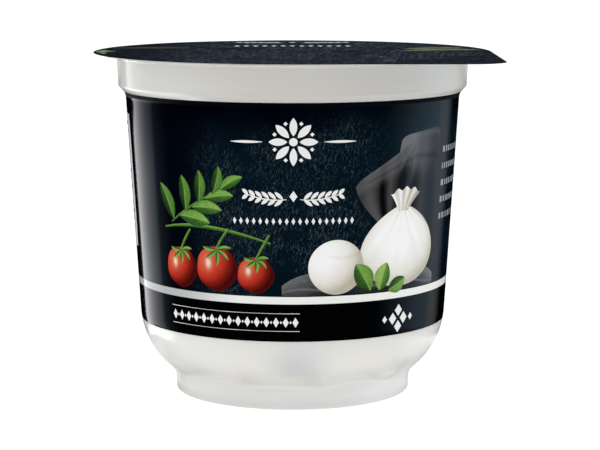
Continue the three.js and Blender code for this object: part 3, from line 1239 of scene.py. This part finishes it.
def lidRelief(x, y):
    # how far the film dips: a flat ring where it is sealed, and inside it a faint sag, rippled by
    # a product of two sines
    distance = np.hypot(x, y)
    rise = smoothStep(distance, lid["sealInner"] - lid["sealEdge"], lid["sealInner"])
    ring = rise * (1.0 - smoothStep(distance, lid["sealOuter"], lid["sealOuter"] + lid["sealEdge"]))
    ripple = lid["sag"] * (1.0 + np.sin(0.19 * x + 0.11 * y) * np.sin(0.13 * y - 0.07 * x + 1.0))
    return pastFlange(x, y) * lid["rimLift"] - lid["sealDepth"] * ring - ripple * (1.0 - ring)


def lidGrid():
    # the outline drawn in to the middle, once for the underside and once for the face
    share = np.sin(np.linspace(0.02, 1.0, lid["rings"]) * math.pi / 2.0)
    spread = share[:, None, None] * lidOutline(lid["steps"])
    x, y = spread[..., 0], spread[..., 1]
    topZ = lid["face"] + lidRelief(x, y)
    topZ[-1] -= 0.01
    free = pastFlange(x, y)
    underZ = lid["under"] * (1.0 - free) + (lid["face"] + lid["rimLift"] - lid["rimThickness"]) * free
    under = np.concatenate([spread, underZ[..., None]], -1)
    upper = np.concatenate([spread, topZ[..., None]], -1)
    return np.concatenate([under, upper[::-1]])


def onLid(x, y, lift):
    # x and y in mm on the film's upper face
    raised = np.where(lift > 0.0, lift, -lid["inkDepth"])
    return np.stack([x, y, lid["face"] + lidRelief(x, y) + raised], -1)


def lidPrint():
    stone = lidStone
    material, tree, shader = newMaterial("lidPrint")
    place = objectPlace(tree)
    reach = addNode(tree, "ShaderNodeVectorMath", {0: place}, operation="LENGTH").outputs["Value"]
    rim = softRange(tree, reach, stone["rimFar"], stone["rimNear"])
    rim = calc(tree, "MULTIPLY_ADD", rim, 1.0 - stone["rimShare"], stone["rimShare"])
    left = softRange(tree, axes(tree, place)[0], stone["leftTo"], stone["leftFrom"])
    left = calc(tree, "MULTIPLY_ADD", left, 1.0 - stone["leftShare"], stone["leftShare"])
    drift = objectNoise(tree, 0.05, detail=1.0)
    drift = calc(tree, "MULTIPLY_ADD", drift, stone["driftMore"], stone["driftLow"])
    dense = times(tree, rim, drift, left)
    grain = turnedPlace(tree, place, stone["slant"], stone["grain"])
    colour, streak = slateColour(tree, grain, stone, dense, dense)
    plug(tree, shader.inputs["Base Color"], colour)
    fill(tree, shader, dullPrint)
    bumpFrom(tree, shader, streak, *stone["relief"])
    return material


lidEnds = [(0.0, 0.0, lid["under"]), (0.0, 0.0, lid["face"] + float(lidRelief(0.0, 0.0)))]
lidFilm = closedLoft("lidFilm", lidGrid(), *lidEnds)
dress(lidFilm, lidPrint(), node="lid")

lidLeafInk = inkMaterial(
    "lidLeafInk", [(0.0, (0.022, 0.038, 0.020)), (0.5, (0.09, 0.15, 0.07)), (1.0, (0.34, 0.47, 0.25))],
    (0.55, 0.64, 0.44), grain=0.9, look=dullPrint)
lidWhiteInk = inkMaterial(
    "lidWhiteInk", [(0.0, (0.60, 0.62, 0.62)), (1.0, (0.94, 0.94, 0.94))],
    (0.9, 0.9, 0.9), grainDepth=0.2, look=dullPrint)
lidSlabInk = inkMaterial(
    "lidSlabInk", [(0.0, (0.020, 0.024, 0.030)), (1.0, (0.115, 0.12, 0.128))],
    (0.24, 0.235, 0.23), grain=(0.5, 1.6, 1.0), grainDepth=0.6, look=dullPrint)

# places in mm from the lid's middle
lidMotifs = {
    # root, heading, length and bow
    "leaves": [
        ((-46.0, -5.5), 84.0, 10.5, -0.3), ((-45.7, -5.5), 66.0, 8.0, 0.3),
        ((-45.9, -4.0), -78.0, 6.5, 0.2), ((26.0, 1.5), 14.0, 19.0, 0.6), ((30.0, 6.0), 5.0, 15.5, 0.5),
        ((27.0, 8.5), 24.0, 15.0, 0.6), ((33.0, 12.5), 14.0, 9.5, 0.3),
    ],
    "leafWidth": 0.17,       # as a share of its length
    "slab": (-34.5, 13.2, 9.5, 3.6),
    "garland": (0.0, 37.5, 1.25),
    "rowHeight": 21.5,
    "rowPitch": 2.3,
    "rowSide": 6,
    "rowHalf": (0.75, 2.4),
}


def lidPiece(name, patches, material, detail=1.0):
    printPiece(name, patches, material, place=onLid, detail=detail)


lidPiece("lidGreens", [
    (leaf(root, heading, length, length * lidMotifs["leafWidth"], bow), leafTone(base=0.75), False)
    for root, heading, length, bow in lidMotifs["leaves"]
], lidLeafInk)
lidPiece("lidSlab", [(ball(*lidMotifs["slab"]), leafTone(base=0.7), False)], lidSlabInk)
lidPiece("lidOrnament", garland(*lidMotifs["garland"]) + [
    plain(lozenge(lidMotifs["rowPitch"] * index, lidMotifs["rowHeight"], *lidMotifs["rowHalf"]))
    for index in range(-lidMotifs["rowSide"], lidMotifs["rowSide"] + 1)
], lidWhiteInk, detail=0.5)
print("lid made")

studio = {
    "floorSize": 4.0,
    "floorGlow": 0.94,
    "ambient": 0.74,
    "leftLamp": 3.0,         # watts
    "rightLamp": 1.3,
    "lampPlace": (1.15, -0.05, 0.34),
    "lampAim": (0.0, 0.0, 0.04),
    "lampSize": 0.9,
    "warmGlow": (1.0, 1.0, 1.03),
    "coolGlow": (0.68, 1.0, 1.27),
}

# the mat round the tub: distances from its axis in mm, azimuths from the front in degrees
mat = {
    "start": 26.0,
    "reach": 58.0,           # where it ends at the sides
    "reachMore": 42.0,       # and how much farther at the back
    "glow": 0.7,
    "glowTurn": 0.2,         # how much brighter it is on the right than at the back
    "sides": (60.0, 88.0),   # it comes in from the front to the sides over these
    "ends": (54.0, 64.0),    # and its columns grow over these
    "backFrom": 100.0,       # from here on it reaches farther
    "shade": 0.5,            # how much darker it is close to the tub, which ends over these distances
    "shadeEnd": (56.0, 44.0),
    "leftShade": -0.35,      # the same on the left, where it is brighter
    "leftFront": (-84.0, -96.0),
    "leftBack": (-170.0, -150.0),
    "stripGlow": 3.4,        # a brighter strip lies on it at the left
    "stripNear": 55.0,       # nearer at the front than at the back
    "stripFar": 61.0,
    "stripSwing": (-80.0, -108.0),
    "stripWidth": 14.0,
    "stripFront": (-72.0, -84.0),
    "stripBack": (-124.0, -112.0),
    "height": 0.3,           # over the floor
    "columns": 145,
    "rows": 90,
}

# the far table, which the collar's outlines show
farTop = {"near": 930.0, "far": 3500.0, "turn": (100.0, 260.0), "glow": 0.6}

screens = {
    "distance": 420.0,
    "high": 420.0,
    "columns": 161,
    "rows": 140,
    "edgeSoft": 0.6,         # degrees
}

leftScreen = {
    # azimuth from the front towards +X, the glow there, and how cool its light is
    "stops": [(-142.0, 2.75, 0.0), (-137.0, 2.85, 0.0), (-131.0, 2.4, 0.0), (-125.0, 1.9, 0.0),
              (-119.0, 1.5, 0.1), (-113.0, 1.15, 0.3), (-109.6, 0.82, 0.5), (-108.4, 0.3, 0.6),
              (-103.0, 0.18, 0.6), (-97.0, 0.07, 0.6), (-93.0, 0.0, 0.6)],
    # height, and the factor on the glow there
    "levels": [(-60.0, 1.25), (-45.0, 1.1), (-32.0, 1.02), (-14.0, 1.0), (-3.0, 0.74), (10.0, 0.6),
               (25.0, 0.46)],
    # it fades out below a height that drops by so many mm a degree, over a depth
    "end": (-105.0, 2.1, 20.0),
    # towards the far side of these azimuths a factor under 1 loses this share of its effect
    "levelTurn": (-114.0, -134.0),
    "levelLoss": 0.75,
    # above this height its far edge draws in by so many degrees a square millimetre, as far as that goes
    "corner": (4.0, 0.022, 20.0),
}

rightScreen = {
    "stops": [(62.0, 0.0, 1.0), (70.0, 0.3, 1.0), (76.0, 0.58, 1.0), (84.0, 0.85, 1.0), (92.0, 1.12, 1.0),
              (100.0, 1.15, 1.0), (110.0, 0.97, 0.95), (116.0, 0.78, 0.9), (119.0, 0.88, 0.3),
              (126.0, 0.68, 0.25), (131.0, 0.43, 0.3), (135.0, 0.17, 0.4), (140.0, 0.0, 0.4)],
    "levels": [(-70.0, 0.85), (-15.0, 1.0), (0.0, 0.95)],
    "end": (-100.0, 0.0, 60.0),
}


def makeFloor():
    # a pale table that gives back as much light as falls on it
    half = studio["floorSize"]
    corners = [(-half, -half, 0.0), (half, -half, 0.0), (half, half, 0.0), (-half, half, 0.0)]
    mesh = bpy.data.meshes.new("floor")
    mesh.from_pydata(corners, [], [(0, 1, 2, 3)])
    floor = bpy.data.objects.new("floor", mesh)
    bpy.context.scene.collection.objects.link(floor)
    material, tree, shader = newMaterial("paleFloor")
    tone = mixColours(tree, objectNoise(tree, 0.01, detail=1.0), (0.2, 0.2, 0.2), (0.22, 0.22, 0.22))
    look = {"Base Color": tone, "Roughness": 0.9, "Emission Color": (1.0, 1.0, 1.0)}
    fill(tree, shader, {**look, "Emission Strength": studio["floorGlow"]})
    mesh.materials.append(material)
    floor.visible_glossy = False


def makeWorld():
    # even soft light for matt surfaces, a dark room for the gloss
    world = bpy.data.worlds.new("studioWorld")
    bpy.context.scene.world = world
    world.use_nodes = True
    tree = world.node_tree
    tree.nodes.clear()
    glossy = addNode(tree, "ShaderNodeLightPath").outputs["Is Glossy Ray"]
    lit = addNode(tree, "ShaderNodeBackground", {"Color": (1.0, 1.0, 1.0), "Strength": studio["ambient"]})
    dark = addNode(tree, "ShaderNodeBackground", {"Color": (1.0, 1.0, 1.0), "Strength": 0.0})
    mixed = addNode(tree, "ShaderNodeMixShader", {0: glossy, 1: lit.outputs[0], 2: dark.outputs[0]})
    addNode(tree, "ShaderNodeOutputWorld", {0: mixed.outputs[0]})


def glowScreen(name, x, y, z, glow, cool):
    # a grid of points that gives light by its own numbers, and that only the gloss sees
    rows, columns = x.shape
    start = (np.arange(rows - 1)[:, None] * columns + np.arange(columns - 1)).ravel()[:, None]
    faces = (start + np.array([0, 1, columns + 1, columns])).tolist()
    values = {"glow": glow.ravel(), "cool": cool.ravel()}
    screen = makeObject(name, np.stack([x, y, z], -1).reshape(-1, 3), faces, values)
    material = bpy.data.materials.new(name + "Glow")
    material.use_nodes = True
    tree = material.node_tree
    tree.nodes.clear()
    colour = mixColours(tree, attribute(tree, "cool"), studio["warmGlow"], studio["coolGlow"])
    light = addNode(tree, "ShaderNodeEmission", {"Strength": attribute(tree, "glow"), "Color": colour})
    addNode(tree, "ShaderNodeOutputMaterial", {0: light.outputs[0]})
    screen.data.materials.append(material)
    screen.visible_camera = False
    screen.visible_diffuse = False
    screen.visible_shadow = False


def around(radius, turn):
    # x and y at a distance from the axis, turned from the front towards +X
    return radius * np.sin(np.radians(turn)), -radius * np.cos(np.radians(turn))


def softPanel(name, screen):
    # an upright glowing screen on an arc round the tub. Its glow is read from the stops across times
    # the levels up, which count for less past the level turn; it eases out below its end, and where
    # it has a corner its first edge draws in by a square of the height
    azimuths, glows, cools = np.array(screen["stops"]).T
    low, drop, fade = screen["end"]
    lowest = low - fade - drop * (azimuths[-1] - azimuths[0])
    across = np.linspace(azimuths[0], azimuths[-1], screens["columns"])
    turn, height = np.meshgrid(across, np.linspace(lowest, screens["high"], screens["rows"]))
    level = np.interp(height, *np.array(screen["levels"]).T)
    if "levelTurn" in screen:
        loss = np.where(level < 1.0, screen["levelLoss"], 0.0) * smoothStep(turn, *screen["levelTurn"])
        level = level + (1.0 - level) * loss
    glow = np.interp(turn, azimuths, glows) * level
    if "corner" in screen:
        start, pull, most = screen["corner"]
        shift = pull * np.clip(height - start, 0.0, most) ** 2
        glow = glow * smoothStep(turn - azimuths[0] - shift, -screens["edgeSoft"], 0.0)
    low = low - drop * (turn - azimuths[0])
    glow = glow * smoothStep(height, low - fade, low)
    glowScreen(name, *around(screens["distance"], turn), height, glow, np.interp(turn, azimuths, cools))


def tableMat():
    # pale at the sides and back up to a reach that grows to the back by a square. It glows more to the
    # right by a sine of the azimuth, less close to the tub but more there on the left, and a brighter
    # strip lies at the left. Each column ends where its glow does
    turn = np.linspace(-180.0, 180.0, mat["columns"])
    side = np.abs(turn)
    back = np.clip((side - mat["backFrom"]) / (180.0 - mat["backFrom"]), 0.0, 1.0)
    reach = mat["reach"] + mat["reachMore"] * back ** 2
    stripShare = smoothStep(turn, *mat["stripFront"]) * smoothStep(turn, *mat["stripBack"])
    near = mat["stripNear"] + (mat["stripFar"] - mat["stripNear"]) * smoothStep(turn, *mat["stripSwing"])
    far = near + mat["stripWidth"]
    last = np.maximum(reach + 2.0, (far + 4.0) * (stripShare > 0.0))
    first = mat["start"]
    end = first + 4.0 + (last - 4.0 - first) * smoothStep(side, *mat["ends"])
    radius = first + (end - first) * np.linspace(0.0, 1.0, mat["rows"])[:, None]
    left = smoothStep(turn, *mat["leftFront"]) * smoothStep(turn, *mat["leftBack"])
    shade = mat["shade"] + (mat["leftShade"] - mat["shade"]) * left
    glow = (mat["glow"] + mat["glowTurn"] * np.sin(np.radians(turn))) * smoothStep(side, *mat["sides"])
    glow = glow * (1.0 - shade * smoothStep(radius, *mat["shadeEnd"]))
    glow = glow * smoothStep(radius, reach + 2.0, reach - 4.0)
    strip = smoothStep(radius, near - 3.0, near + 2.0) * smoothStep(radius, far + 3.0, far - 3.0)
    glow = glow + mat["stripGlow"] * strip * stripShare
    height = np.full(radius.shape, mat["height"])
    glowScreen("tableMat", *around(radius, turn), height, glow, np.zeros(radius.shape))


def farTable():
    # a level sheet a metre behind
    across = np.linspace(*farTop["turn"], 41)
    turn, radius = np.meshgrid(across, np.linspace(farTop["near"], farTop["far"], 4))
    flat = np.zeros(turn.shape)
    glowScreen("farTable", *around(radius, turn), flat + mat["height"], flat + farTop["glow"], flat)


def sideLamp(name, side, power):
    # a large soft lamp that lights matt surfaces only
    data = bpy.data.lights.new(name, "AREA")
    data.energy = power
    data.size = studio["lampSize"]
    lamp = bpy.data.objects.new(name, data)
    x, y, z = studio["lampPlace"]
    lamp.location = (side * x, y, z)
    aim = Vector(studio["lampAim"]) - lamp.location
    lamp.rotation_euler = aim.to_track_quat("-Z", "Y").to_euler()
    lamp.visible_glossy = False
    bpy.context.scene.collection.objects.link(lamp)


makeFloor()
makeWorld()
sideLamp("leftLamp", -1.0, studio["leftLamp"])
sideLamp("rightLamp", 1.0, studio["rightLamp"])
tableMat()
farTable()
softPanel("leftPanel", leftScreen)
softPanel("rightPanel", rightScreen)
bpy.context.scene.view_settings.view_transform = "Standard"
print("studio set")
